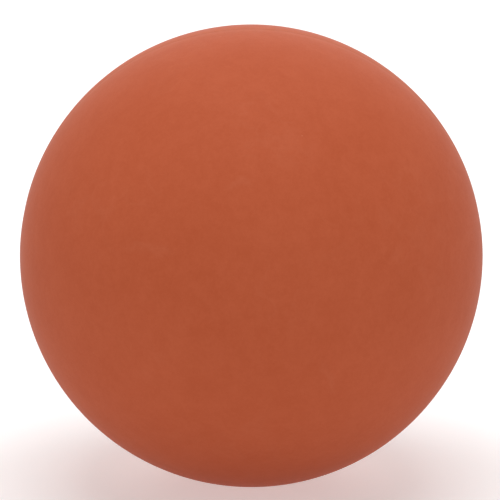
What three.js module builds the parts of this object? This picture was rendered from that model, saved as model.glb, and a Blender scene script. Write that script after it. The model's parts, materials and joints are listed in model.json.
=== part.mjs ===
// A hollow rubber ball for paddle and racket games, made the way such balls are made: two moulded
// half shells, their rims ground flat and cemented together in one seam round the middle.
//
// Millimetres, +Z up. The origin is the centre of the ball. The seam lies in the plane Y = 0, so the
// pole of the front half shell points along -Y and that of the rear one along +Y.
import * as THREE from "three";

// Driving dimensions.
const BALL_DIAMETER = 57.15; // 2 1/4 inches
const WALL = 3.7; // thickness of the rubber
const CEMENT_THICKNESS = 0.25; // the bond line between the two rims, measured along Y
const GROUND_BAND_WIDTH = 2.4; // the flash is ground off here, so the outside is straight along Y
const BEAD_WIDTH = 2.4; // cement squeezed out on the inside of the seam
const BEAD_HEIGHT = 0.5;

// Fineness of the facets.
const SEGMENTS_AROUND = 64; // a multiple of 4, so that one facet faces each of +X, -X, +Z and -Z
const OUTER_STEPS = 16; // from the ground band to the pole
const INNER_STEPS = 12; // from the cement bead to the inner pole
const BEAD_STEPS = 6;

const OUTER_RADIUS = BALL_DIAMETER / 2;
const INNER_RADIUS = OUTER_RADIUS - WALL;
const RIM_HEIGHT = CEMENT_THICKNESS / 2; // of each rim above the seam plane
const BEAD_FOOT_RADIUS = Math.sqrt(INNER_RADIUS ** 2 - (BEAD_WIDTH / 2) ** 2);

// A facet's middle lies nearer the axis than its corners do. This puts the middles at the radius.
const CORNER_SCALE = 1 / Math.cos(Math.PI / SEGMENTS_AROUND);

const shellRubber = new THREE.MeshStandardMaterial({
  color: new THREE.Color("#b0562f"),
  roughness: 0.85,
  metalness: 0,
});
const curedCement = new THREE.MeshStandardMaterial({
  color: new THREE.Color("#8a4a2c"),
  roughness: 0.6,
  metalness: 0,
});

// Points of a sphere's section, from a height above the seam plane up to the pole on the axis.
function sphereArc(radius, startHeight, steps) {
  const startAngle = Math.asin(startHeight / radius);
  const points = [];
  for (let i = 0; i <= steps; i++) {
    const angle = startAngle + ((Math.PI / 2 - startAngle) * i) / steps;
    const fromAxis = i === steps ? 0 : radius * Math.cos(angle);
    points.push(new THREE.Vector2(fromAxis, radius * Math.sin(angle)));
  }
  return points;
}

// Turns a section, given as (distance from the Y axis, Y), round the Y axis.
function revolve(section) {
  const profile = section.map((p) => new THREE.Vector2(p.x * CORNER_SCALE, p.y));
  return new THREE.LatheGeometry(profile, SEGMENTS_AROUND, Math.PI / SEGMENTS_AROUND);
}

// One half shell. Its section runs up the outside, from the flat rim and the ground band to the
// outer pole, and then from the inner pole down the inside, past the foot of the cement bead.
// side is +1 for the half towards +Y and -1 for the half towards -Y.
function halfShell(side) {
  const outside = [
    new THREE.Vector2(OUTER_RADIUS, RIM_HEIGHT),
    new THREE.Vector2(OUTER_RADIUS, GROUND_BAND_WIDTH / 2),
    ...sphereArc(OUTER_RADIUS, GROUND_BAND_WIDTH / 2, OUTER_STEPS).slice(1),
  ];
  const inside = [
    new THREE.Vector2(INNER_RADIUS, RIM_HEIGHT),
    ...sphereArc(INNER_RADIUS, BEAD_WIDTH / 2, INNER_STEPS),
  ];
  const section = [...inside.reverse(), ...outside];
  if (side < 0) {
    section.reverse();
    section.forEach((p) => p.setY(-p.y));
  }
  return revolve(section);
}

// The cured cement: a thin flat ring between the rims, and the low rounded bead inside the seam.
// The bead's two feet lie on the inside of the shells. Its section closes on itself.
function seamCement() {
  const section = [
    new THREE.Vector2(OUTER_RADIUS, -RIM_HEIGHT),
    new THREE.Vector2(OUTER_RADIUS, RIM_HEIGHT),
    new THREE.Vector2(INNER_RADIUS, RIM_HEIGHT),
  ];
  for (let i = 0; i <= BEAD_STEPS; i++) {
    const turn = (Math.PI * i) / BEAD_STEPS;
    section.push(
      new THREE.Vector2(
        BEAD_FOOT_RADIUS - BEAD_HEIGHT * Math.sin(turn),
        (BEAD_WIDTH / 2) * Math.cos(turn),
      ),
    );
  }
  section.push(new THREE.Vector2(INNER_RADIUS, -RIM_HEIGHT));
  section.push(section[0].clone());
  return revolve(section);
}

function piece(name, geometry, material) {
  const mesh = new THREE.Mesh(geometry, material);
  mesh.name = name;
  return mesh;
}

const ball = new THREE.Group();
ball.name = "paddle_ball";
ball.add(
  piece("front_half_shell", halfShell(-1), shellRubber),
  piece("rear_half_shell", halfShell(+1), shellRubber),
  piece("seam_cement", seamCement(), curedCement),
);

export default ball;
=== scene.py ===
"""The looks of a hollow rubber paddle ball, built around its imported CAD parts.

Metres, +Z up, with the ball's centre at the origin and its seam in the plane Y = 0. Each half shell
and the cured cement between them is rebuilt here as a fine closed mesh with a procedural material.
"""

import json
import math

import bmesh
import bpy
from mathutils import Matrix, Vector, noise

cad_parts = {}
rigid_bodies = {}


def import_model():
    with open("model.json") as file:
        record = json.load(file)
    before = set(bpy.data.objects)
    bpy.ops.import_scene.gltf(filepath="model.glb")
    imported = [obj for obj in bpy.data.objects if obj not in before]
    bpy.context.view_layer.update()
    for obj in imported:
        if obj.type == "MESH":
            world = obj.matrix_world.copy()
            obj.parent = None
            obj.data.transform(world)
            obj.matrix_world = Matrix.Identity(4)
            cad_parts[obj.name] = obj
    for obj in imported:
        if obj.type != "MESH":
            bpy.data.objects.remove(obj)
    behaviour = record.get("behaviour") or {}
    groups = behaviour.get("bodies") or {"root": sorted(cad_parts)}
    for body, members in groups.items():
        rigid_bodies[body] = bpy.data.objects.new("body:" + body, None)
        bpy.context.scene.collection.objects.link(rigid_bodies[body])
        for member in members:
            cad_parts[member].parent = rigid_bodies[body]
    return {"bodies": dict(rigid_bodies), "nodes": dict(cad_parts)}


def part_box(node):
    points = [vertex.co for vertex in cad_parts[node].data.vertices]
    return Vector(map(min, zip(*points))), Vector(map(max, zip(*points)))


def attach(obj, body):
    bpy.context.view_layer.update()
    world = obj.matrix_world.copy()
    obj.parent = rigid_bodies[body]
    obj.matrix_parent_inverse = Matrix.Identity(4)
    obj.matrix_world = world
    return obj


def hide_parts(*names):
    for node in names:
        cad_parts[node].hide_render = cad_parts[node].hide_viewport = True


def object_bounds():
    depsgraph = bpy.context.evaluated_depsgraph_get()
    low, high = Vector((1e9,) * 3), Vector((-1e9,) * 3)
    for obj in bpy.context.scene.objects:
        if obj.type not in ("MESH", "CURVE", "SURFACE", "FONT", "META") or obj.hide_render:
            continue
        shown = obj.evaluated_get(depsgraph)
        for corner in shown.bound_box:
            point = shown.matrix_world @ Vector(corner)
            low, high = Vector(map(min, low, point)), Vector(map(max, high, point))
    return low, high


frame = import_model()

CAD_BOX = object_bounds()
BODY = next(iter(frame["bodies"]))
MM = 0.001


def distances_from_centre(node):
    return [v.co.length for v in frame["nodes"][node].data.vertices]


# Sizes that the CAD parts give.
RADIUS = CAD_BOX[1].x
INNER_RADIUS = min(distances_from_centre("rear_half_shell"))
RIM_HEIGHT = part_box("rear_half_shell")[0].y
BEAD_HALF_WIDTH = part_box("seam_cement")[1].y
BEAD_TOP_RADIUS = min(distances_from_centre("seam_cement"))

# Fine sizes, below what the CAD parts hold.
BAND_HALF_WIDTH = 1.2 * MM  # the flash is ground off this far on each side of the seam
BAND_RADIUS = math.sqrt(RADIUS**2 - BAND_HALF_WIDTH**2)
BAND_FADE = (0.9 * BAND_HALF_WIDTH, 1.15 * BAND_HALF_WIDTH)  # its finish ends between these
RIM_ROUNDING = 0.03 * MM
CEMENT_RECESS = 0.012 * MM  # below the ground band
BEAD_SIZE = 0.88  # of the cement bead, as a share of the CAD part's, and how far that varies
BEAD_SIZE_VARIES = 0.12
BEAD_LUMPS = 6  # over a stretch of the seam as long as the radius
MOULD_WAVES = ((8.0 * MM, 0.016 * MM), (2.6 * MM, 0.004 * MM))  # wavelength, greatest depth
MOULD_WAVES_RISE = 3 * MM  # from the ground band to where the waves have their full depth

# Fineness of the meshes.
CELLS = 72  # along an edge of the cube that each dome is made from, an even number
SEAM_STEPS = 4 * CELLS  # so that the cement has a corner at each corner of the rims
ROUNDING_STEPS = 4
BEAD_STEPS = 8
BAND_LINES = (0.98, 0.75, 0.5, 0.3)  # heights on the ground band, as shares of its half width
RIM_LINES = (0.05, 0.35, 0.65, 0.95)  # across a flat rim, from the outside to the inside
CEMENT_LINES = (-1.0, -0.5, 0.0, 0.5, 1.0)  # across the cement's outer edge

# Faint pale scuffs on the front shell: a unit direction to the middle of each, the direction that
# it runs in, its length and its width.
SCUFFS = (
    ((-0.43, -0.87, 0.25), (1.0, -0.45, 0.0), 9.0 * MM, 1.6 * MM),
    ((0.33, -0.90, -0.30), (0.45, 0.0, -0.9), 7.0 * MM, 1.4 * MM),
    ((-0.05, -0.86, 0.51), (0.9, 0.0, 0.4), 4.0 * MM, 2.0 * MM),
)

# Colours, as linear light.
TERRACOTTA = (0.420, 0.0798, 0.0276)
TERRACOTTA_DEEP = (0.388, 0.0668, 0.0196)
TERRACOTTA_PALE = (0.452, 0.0922, 0.0354)
RUBBER_DUST = (0.58, 0.24, 0.15)
CEMENT_EDGE = (0.375, 0.072, 0.025)  # ground flush and stained by the rubber's dust
CEMENT_BEAD = (0.250, 0.055, 0.022)
MOULDING_POWDER = (0.62, 0.36, 0.26)
FLOOR_WHITE = 0.9

# How much each scale of the skin's mottling counts from the deep colour to the pale one.
BROAD_SHARE = 0.35
CLOUD_SHARE = 0.5
GRAIN_SHARE = 0.15

# How much dust shows where each kind of mark is at its strongest.
WISP_DUST = 0.025
LINT_DUST = 0.3
SCUFF_DUST = 0.04
BAND_DUST = (0.03, 0.13)  # between the scratches of the ground band, and in them
SCRATCH_FINENESS = 40  # how many times finer the scratches are across than along

# Gloss. Each roughness runs from the smoothest places to the roughest.
SKIN_ROUGHNESS = (0.68, 0.78)
BAND_ROUGHER = 0.06  # the ground band, by this much more than the skin
INSIDE_ROUGHNESS = (0.75, 0.9)
BEAD_ROUGHNESS = (0.42, 0.6)
EDGE_ROUGHER = 0.22  # the cement where it was ground, by this much more than its bead
FLOOR_ROUGHNESS = (0.85, 0.95)
DULL_SPECULAR = 0.2  # the weak reflection of dusty rubber, where 0.5 is that of clean plastic

# How the ball sits in the picture: its radius, and how far its centre lies to the right of the
# picture's centre and above it, all as shares of the picture's width.
PICTURE_RADIUS = 0.463
PICTURE_CENTRE = (0.0026, -0.0115)
CAMERA_DISTANCE = 0.6
CAMERA_ELEVATION = math.radians(14)
CAMERA_CLIP_START = 0.01

# Floor and light: a white surround, a lamp under the translucent floor that lightens the ball's
# shadow, a glow far out that makes the floor as bright as the surround, and two softboxes as
# (place, width, height, watts).
FLOOR_HALF_WIDTH = 3.0
SURROUND = 0.79
FLOOR_GLOW = 0.43  # at the point that the ball rests on
FLOOR_GLOW_RADIUS = 0.035
FAR_GLOW = SURROUND * (1 - FLOOR_WHITE)
FAR_GLOW_START = 0.3
FAR_GLOW_FULL = 1.2
SOFTBOXES = {
    "overhead": ((0, 0, 0.6), 0.5, 0.5, 2.1),
    "high_back": ((0, 0.6, 0.25), 0.8, 0.3, 1.17),
}


# Meshes

def dome_grid(cells):
    """An even mesh of quads over the +Y half of a unit sphere, from half a cube. It gives the unit
    directions, the faces, and the corners on the rim in order of their angle about Y."""
    grid = bmesh.new()
    bmesh.ops.create_cube(grid, size=2)
    bmesh.ops.subdivide_edges(grid, edges=grid.edges[:], cuts=cells - 1, use_grid_fill=True)
    other_half = [v for v in grid.verts if v.co.y < -0.5 / cells]
    bmesh.ops.delete(grid, geom=other_half, context="VERTS")
    grid.verts.index_update()
    rim = [v for v in grid.verts if abs(v.co.y) < 0.5 / cells]
    for v in grid.verts:
        v.co = Vector([math.tan(c * math.pi / 4) for c in v.co]).normalized()
    rim.sort(key=lambda v: math.atan2(v.co.z, v.co.x))
    directions = [v.co.copy() for v in grid.verts]
    faces = [[v.index for v in f.verts] for f in grid.faces]
    rim = [v.index for v in rim]
    grid.free()
    return directions, faces, rim


def raised(direction, lowest):
    """The direction moved towards the +Y pole, so that the dome's rim ends at the angle lowest."""
    angle = math.asin(max(-1.0, min(1.0, direction.y)))
    angle = lowest + angle * (1 - lowest / (math.pi / 2))
    flat = math.hypot(direction.x, direction.z)
    if flat < 1e-9:  # the pole itself
        return Vector((0, 1, 0))
    across = math.cos(angle) / flat
    return Vector((direction.x * across, math.sin(angle), direction.z * across))


def mould_depth(point, seed):
    """How far the moulded skin lies below the true sphere here, from 0 at the ground band. Each seed
    gives other waves."""
    depth = 0
    for wavelength, greatest in MOULD_WAVES:
        value = noise.noise(point / wavelength + Vector((seed, 0, 0)))
        depth += greatest * (0.5 + 0.5 * value)
    rise = min(1.0, max(0.0, (abs(point.y) - BAND_HALF_WIDTH) / MOULD_WAVES_RISE))
    return depth * rise


def rim_section():
    """The section from the ground band over the flat rim to the inside, as (radius, height)."""
    section = [(BAND_RADIUS, BAND_HALF_WIDTH * share) for share in BAND_LINES]
    for step in range(ROUNDING_STEPS + 1):
        turn = math.pi / 2 * step / ROUNDING_STEPS
        section.append((
            BAND_RADIUS - RIM_ROUNDING * (1 - math.cos(turn)),
            RIM_HEIGHT + RIM_ROUNDING * (1 - math.sin(turn)),
        ))
    for share in RIM_LINES:
        section.append((BAND_RADIUS + (INNER_RADIUS - BAND_RADIUS) * share, RIM_HEIGHT))
    section.append((INNER_RADIUS, RIM_HEIGHT))
    halfway = BEAD_HALF_WIDTH / 2
    section.append((math.sqrt(INNER_RADIUS**2 - halfway**2), halfway))
    return section


def half_shell(name, side, seed, skin, inside):
    """One half shell as a closed mesh. side is +1 for the half towards +Y and -1 for the other."""
    directions, faces, rim = dome_grid(CELLS)
    outer_angle = math.asin(BAND_HALF_WIDTH / RADIUS)
    inner_angle = math.asin(BEAD_HALF_WIDTH / INNER_RADIUS)
    angles = [math.atan2(directions[i].z, directions[i].x) for i in rim]
    built = bmesh.new()

    def add(point):
        return built.verts.new((point[0], side * point[1], point[2]))

    outer = []
    for direction in directions:
        point = raised(direction, outer_angle) * RADIUS
        point -= point.normalized() * mould_depth(point, seed)
        outer.append(add(point))
    inner = [add(raised(direction, inner_angle) * INNER_RADIUS) for direction in directions]
    loops = [[outer[i] for i in rim]]
    for radius, height in rim_section():
        loops.append([add((radius * math.cos(a), height, radius * math.sin(a))) for a in angles])
    loops.append([inner[i] for i in rim])

    for face in faces:
        built.faces.new([outer[i] for i in face])
        built.faces.new([inner[i] for i in reversed(face)]).material_index = 1
    for above, below in zip(loops, loops[1:]):
        for i in range(len(rim)):
            j = (i + 1) % len(rim)
            built.faces.new((above[i], above[j], below[j], below[i]))
    return finished(name, built, (skin, inside))


def seam_cement(name, material):
    """The cured cement: a thin ring between the rims, with a slightly hollow outer edge and an
    uneven squeezed-out bead on the inside."""
    built = bmesh.new()
    loops = []
    for step in range(SEAM_STEPS):
        angle = 2 * math.pi * step / SEAM_STEPS
        around = Vector((math.cos(angle), 0, math.sin(angle)))
        size = BEAD_SIZE + BEAD_SIZE_VARIES * noise.noise(around * BEAD_LUMPS)
        section = []
        for share in CEMENT_LINES:
            recess = CEMENT_RECESS * (1 - 0.5 * share**2)  # half as deep at the rims
            section.append((BAND_RADIUS - recess, RIM_HEIGHT * share))
        section.append((INNER_RADIUS, RIM_HEIGHT))
        for i in range(BEAD_STEPS + 1):
            turn = math.pi * i / BEAD_STEPS
            height = BEAD_HALF_WIDTH * size * math.cos(turn)
            foot = math.sqrt(INNER_RADIUS**2 - height**2)
            section.append((foot - (foot - BEAD_TOP_RADIUS) * size * math.sin(turn), height))
        section.append((INNER_RADIUS, -RIM_HEIGHT))
        loops.append([built.verts.new(around * r + Vector((0, y, 0))) for r, y in section])
    for step, loop in enumerate(loops):
        following = loops[(step + 1) % SEAM_STEPS]
        for i in range(len(loop)):
            j = (i + 1) % len(loop)
            built.faces.new((loop[i], loop[j], following[j], following[i]))
    return finished(name, built, (material,))


def finished(name, built, materials):
    """The bmesh as a smooth-shaded object with its faces turned outwards."""
    bmesh.ops.recalc_face_normals(built, faces=built.faces[:])
    for face in built.faces:
        face.smooth = True
    mesh = bpy.data.meshes.new(name)
    built.to_mesh(mesh)
    built.free()
    for material in materials:
        mesh.materials.append(material)
    made = bpy.data.objects.new(name, mesh)
    bpy.context.scene.collection.objects.link(made)
    return made


# Materials

class Nodes:
    """A short way to write a material's node tree."""

    def __init__(self, name):
        self.material = bpy.data.materials.new(name)
        self.material.use_nodes = True
        self.tree = self.material.node_tree
        self.shader = self.tree.nodes["Principled BSDF"]
        coordinates = self.tree.nodes.new("ShaderNodeTexCoord")
        self.place = coordinates.outputs["Object"]

    def join(self, value, socket):
        """Links value if it is a socket, and otherwise sets the socket to it."""
        if isinstance(value, bpy.types.NodeSocket):
            self.tree.links.new(value, socket)
        else:
            socket.default_value = value

    def noise(self, wavelength, detail=2.0, roughness=0.5, place=None):
        made = self.tree.nodes.new("ShaderNodeTexNoise")
        self.join(place or self.place, made.inputs["Vector"])
        made.inputs["Scale"].default_value = 1 / wavelength
        made.inputs["Detail"].default_value = detail
        made.inputs["Roughness"].default_value = roughness
        return made.outputs["Fac"]

    def warped(self, wavelength, shift):
        """The place, moved about by up to half of shift each way."""
        made = self.tree.nodes.new("ShaderNodeTexNoise")
        self.join(self.place, made.inputs["Vector"])
        made.inputs["Scale"].default_value = 1 / wavelength
        offset = self.vector("SUBTRACT", made.outputs["Color"], (0.5, 0.5, 0.5))
        return self.vector("ADD", self.place, self.vector("SCALE", offset, shift))

    def specks(self, spacing, radius):
        """1 in small soft-edged spots, scattered through space at about this spacing, and 0
        elsewhere."""
        made = self.tree.nodes.new("ShaderNodeTexVoronoi")
        self.join(self.place, made.inputs["Vector"])
        made.inputs["Scale"].default_value = 1 / spacing
        edge = radius / spacing
        return self.ramp(made.outputs["Distance"], 0.6 * edge, edge, 1.0, 0.0)

    def scuff(self, middle, run, length, width):
        """1 along the middle of a wavering scuff, fading to 0 at its sides and ends."""
        middle = Vector(middle).normalized()
        run = Vector(run)
        run = (run - middle * run.dot(middle)).normalized()
        offset = self.vector("SUBTRACT", self.place, middle * RADIUS)
        across = self.vector("DOT_PRODUCT", offset, middle.cross(run))
        along = self.vector("DOT_PRODUCT", offset, run)
        waver = self.math("SUBTRACT", self.noise(2.2 * MM), 0.5)
        beside = self.total((across, 1.0), (waver, 2 * width))
        sides = self.ramp(self.math("ABSOLUTE", beside), 0.0, width / 2, 1.0, 0.0)
        ends = self.ramp(self.math("ABSOLUTE", along), 0.2 * length, 0.5 * length, 1.0, 0.0)
        return self.math("MULTIPLY", sides, ends)

    def distance(self):
        """From the object's origin: the ball's centre, or on the floor the point below it."""
        return self.vector("LENGTH", self.place)

    def ground_band(self):
        """1 on the band beside the seam and 0 elsewhere, and fine scratches that run round it."""
        parts = self.tree.nodes.new("ShaderNodeSeparateXYZ")
        self.join(self.place, parts.inputs[0])
        from_seam = self.math("ABSOLUTE", parts.outputs["Y"])
        band = self.ramp(from_seam, *BAND_FADE, 1.0, 0.0)
        squeezed = self.vector("MULTIPLY", self.place, (1, SCRATCH_FINENESS, 1))
        return band, self.noise(2.5 * MM, roughness=0.6, place=squeezed)

    def vector(self, operation, first, second=None):
        made = self.tree.nodes.new("ShaderNodeVectorMath")
        made.operation = operation
        self.join(first, made.inputs[0])
        if operation == "SCALE":
            made.inputs["Scale"].default_value = second
        elif second is not None:
            self.join(second, made.inputs[1])
        gives_number = operation in ("LENGTH", "DOT_PRODUCT")
        return made.outputs["Value" if gives_number else "Vector"]

    def math(self, operation, *values):
        made = self.tree.nodes.new("ShaderNodeMath")
        made.operation = operation
        for value, socket in zip(values, made.inputs):
            self.join(value, socket)
        return made.outputs[0]

    def total(self, *terms):
        """The sum of the terms, each of them two values that are multiplied."""
        so_far = 0.0
        for first, second in terms:
            so_far = self.math("MULTIPLY_ADD", first, second, so_far)
        return so_far

    def ramp(self, value, low, high, to_low=0.0, to_high=1.0):
        """value from low to high becomes to_low to to_high, with soft ends."""
        made = self.tree.nodes.new("ShaderNodeMapRange")
        made.interpolation_type = "SMOOTHSTEP"
        for socket, number in zip(made.inputs, (value, low, high, to_low, to_high)):
            self.join(number, socket)
        return made.outputs[0]

    def mix(self, share, first, second):
        """A colour from first to second by share."""
        made = self.tree.nodes.new("ShaderNodeMix")
        made.data_type = "RGBA"
        colours = [s for s in made.inputs if s.type == "RGBA"]
        self.join(share, made.inputs[0])
        for colour, socket in zip((first, second), colours):
            self.join(colour if isinstance(colour, bpy.types.NodeSocket) else (*colour, 1), socket)
        return next(s for s in made.outputs if s.type == "RGBA")

    def bump(self, height, distance):
        made = self.tree.nodes.new("ShaderNodeBump")
        made.inputs["Distance"].default_value = distance
        self.join(height, made.inputs["Height"])
        return made.outputs["Normal"]

    def finish(self, colour, roughness, normal, **constants):
        """The material, with values that are the same all over it given by their sockets' names."""
        self.join(colour, self.shader.inputs["Base Color"])
        self.join(roughness, self.shader.inputs["Roughness"])
        self.join(normal, self.shader.inputs["Normal"])
        for name, value in constants.items():
            self.shader.inputs[name.replace("_", " ")].default_value = value
        return self.material


def rubber_skin():
    """The moulded and buffed outside: matte and finely grained, with cloudy mottling, faint curling
    wisps where the mould release pooled, specks of lint, scuffs, and a ground band by the seam."""
    n = Nodes("rubber_skin")
    broad = n.noise(11 * MM, detail=1)
    cloudy = n.noise(2.8 * MM, detail=4, roughness=1.0)
    grain = n.noise(0.24 * MM, roughness=0.6)
    clouds = n.ramp(cloudy, 0.25, 0.75)
    shade = n.total((broad, BROAD_SHARE), (clouds, CLOUD_SHARE), (grain, GRAIN_SHARE))
    clean = n.mix(shade, TERRACOTTA_DEEP, TERRACOTTA_PALE)

    curl = n.noise(5 * MM, roughness=0.6, place=n.warped(6 * MM, shift=3 * MM))
    off_crest = n.math("ABSOLUTE", n.math("SUBTRACT", curl, 0.5))
    patches = n.ramp(n.noise(14 * MM, detail=1), 0.5, 0.65)
    wisps = n.math("MULTIPLY", n.ramp(off_crest, 0.0, 0.05, 1.0, 0.0), patches)
    lint = n.specks(spacing=5.4 * MM, radius=0.1 * MM)
    band, scratches = n.ground_band()
    dust = n.total(
        (wisps, WISP_DUST),
        (lint, LINT_DUST),
        *((n.scuff(*scuff), SCUFF_DUST) for scuff in SCUFFS),
        (band, n.ramp(scratches, 0.3, 0.7, *BAND_DUST)),
    )
    colour = n.mix(dust, clean, RUBBER_DUST)

    roughness = n.total((n.ramp(grain, 0.2, 0.8, *SKIN_ROUGHNESS), 1.0), (band, BAND_ROUGHER))
    height = n.total((grain, 1.0), (cloudy, 2.0), (band, scratches))
    return n.finish(
        colour, roughness, n.bump(height, 0.004 * MM),
        IOR=1.5, Specular_IOR_Level=DULL_SPECULAR, Sheen_Weight=0.06, Sheen_Roughness=0.22,
    )


def rubber_inside():
    """The inside of the shells, left as moulded, with a haze of moulding powder."""
    n = Nodes("rubber_inside")
    powder = n.ramp(n.noise(3 * MM, detail=5, roughness=0.65), 0.35, 0.75, 0.1, 0.55)
    grain = n.noise(0.3 * MM, detail=3)
    colour = n.mix(powder, TERRACOTTA, MOULDING_POWDER)
    roughness = n.ramp(grain, 0.2, 0.8, *INSIDE_ROUGHNESS)
    return n.finish(colour, roughness, n.bump(grain, 0.01 * MM))


def cured_cement():
    """The cement: close to the rubber's colour where it was ground, and darker, streaky and a
    little glossy on the inside."""
    n = Nodes("cured_cement")
    streaks = n.noise(0.8 * MM, detail=4, roughness=0.6)
    outward = n.ramp(n.distance(), INNER_RADIUS, BAND_RADIUS)
    bead = n.mix(n.ramp(streaks, 0.3, 0.7, 0.0, 0.3), CEMENT_BEAD, TERRACOTTA)
    colour = n.mix(outward, bead, CEMENT_EDGE)
    gloss = n.ramp(streaks, 0.3, 0.7, *BEAD_ROUGHNESS)
    roughness = n.total((gloss, 1.0), (outward, EDGE_ROUGHER))
    normal = n.bump(streaks, 0.01 * MM)
    return n.finish(colour, roughness, normal, Specular_IOR_Level=DULL_SPECULAR)


def translucent_floor():
    """Matt white, lit from below in a soft round patch around the ball and again far out, where it
    blends into the surround without a horizon."""
    n = Nodes("translucent_floor")
    patch = n.ramp(n.distance(), 0.0, FLOOR_GLOW_RADIUS, FLOOR_GLOW, 0.0)
    far = n.ramp(n.distance(), FAR_GLOW_START, FAR_GLOW_FULL, 0.0, FAR_GLOW)
    n.join(n.math("ADD", patch, far), n.shader.inputs["Emission Strength"])
    n.shader.inputs["Emission Color"].default_value = (1, 1, 1, 1)
    speckle = n.noise(1.5 * MM)
    return n.finish(
        (FLOOR_WHITE, FLOOR_WHITE, FLOOR_WHITE, 1),
        n.ramp(speckle, 0.3, 0.7, *FLOOR_ROUGHNESS),
        n.bump(speckle, 0.002 * MM),
        Specular_IOR_Level=0.1,
    )


# Camera, floor and light

def camera():
    """Looking down at the ball a little, from far enough away to see it nearly as a drawing would."""
    data = bpy.data.cameras.new("camera")
    made = bpy.data.objects.new("camera", data)
    bpy.context.scene.collection.objects.link(made)
    back = CAMERA_DISTANCE * math.cos(CAMERA_ELEVATION)
    up = CAMERA_DISTANCE * math.sin(CAMERA_ELEVATION)
    made.location = (0, -back, up)
    made.rotation_euler = (math.pi / 2 - CAMERA_ELEVATION, 0, 0)
    seen = math.tan(math.asin(RADIUS / CAMERA_DISTANCE))
    data.lens = data.sensor_width * PICTURE_RADIUS / seen
    data.shift_x = -PICTURE_CENTRE[0]
    data.shift_y = -PICTURE_CENTRE[1]
    data.clip_start = CAMERA_CLIP_START
    bpy.context.scene.camera = made


def floor():
    """A plain white table top, with its origin at the point that the ball rests on."""
    half = FLOOR_HALF_WIDTH
    corners = [(-half, -half, 0), (half, -half, 0), (half, half, 0), (-half, half, 0)]
    mesh = bpy.data.meshes.new("floor")
    mesh.from_pydata(corners, [], [(0, 1, 2, 3)])
    mesh.materials.append(translucent_floor())
    made = bpy.data.objects.new("floor", mesh)
    made.location.z = CAD_BOX[0].z
    bpy.context.scene.collection.objects.link(made)


def surround():
    """White from every side."""
    world = bpy.data.worlds.new("surround")
    world.use_nodes = True
    background = world.node_tree.nodes["Background"]
    background.inputs["Color"].default_value = (1, 1, 1, 1)
    background.inputs["Strength"].default_value = SURROUND
    bpy.context.scene.world = world


def softbox(name, place, width, height, watts):
    """A rectangular light that faces the ball."""
    data = bpy.data.lights.new(name, "AREA")
    data.shape = "RECTANGLE"
    data.size = width
    data.size_y = height
    data.energy = watts
    made = bpy.data.objects.new(name, data)
    bpy.context.scene.collection.objects.link(made)
    made.location = place
    made.rotation_euler = (-Vector(place)).to_track_quat("-Z", "Y").to_euler()


# The ball

skin = rubber_skin()
inside = rubber_inside()
for name, node, side, seed in (
    ("front_shell", "front_half_shell", -1, 11.0),
    ("rear_shell", "rear_half_shell", 1, 47.0),
):
    shell = half_shell(name, side, seed, skin, inside)
    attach(shell, BODY)
    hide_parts(node)
cement = seam_cement("cement_seam", cured_cement())
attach(cement, BODY)
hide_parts("seam_cement")

camera()
floor()
surround()
for name, settings in SOFTBOXES.items():
    softbox(name, *settings)
bpy.context.scene.view_settings.view_transform = "Standard"
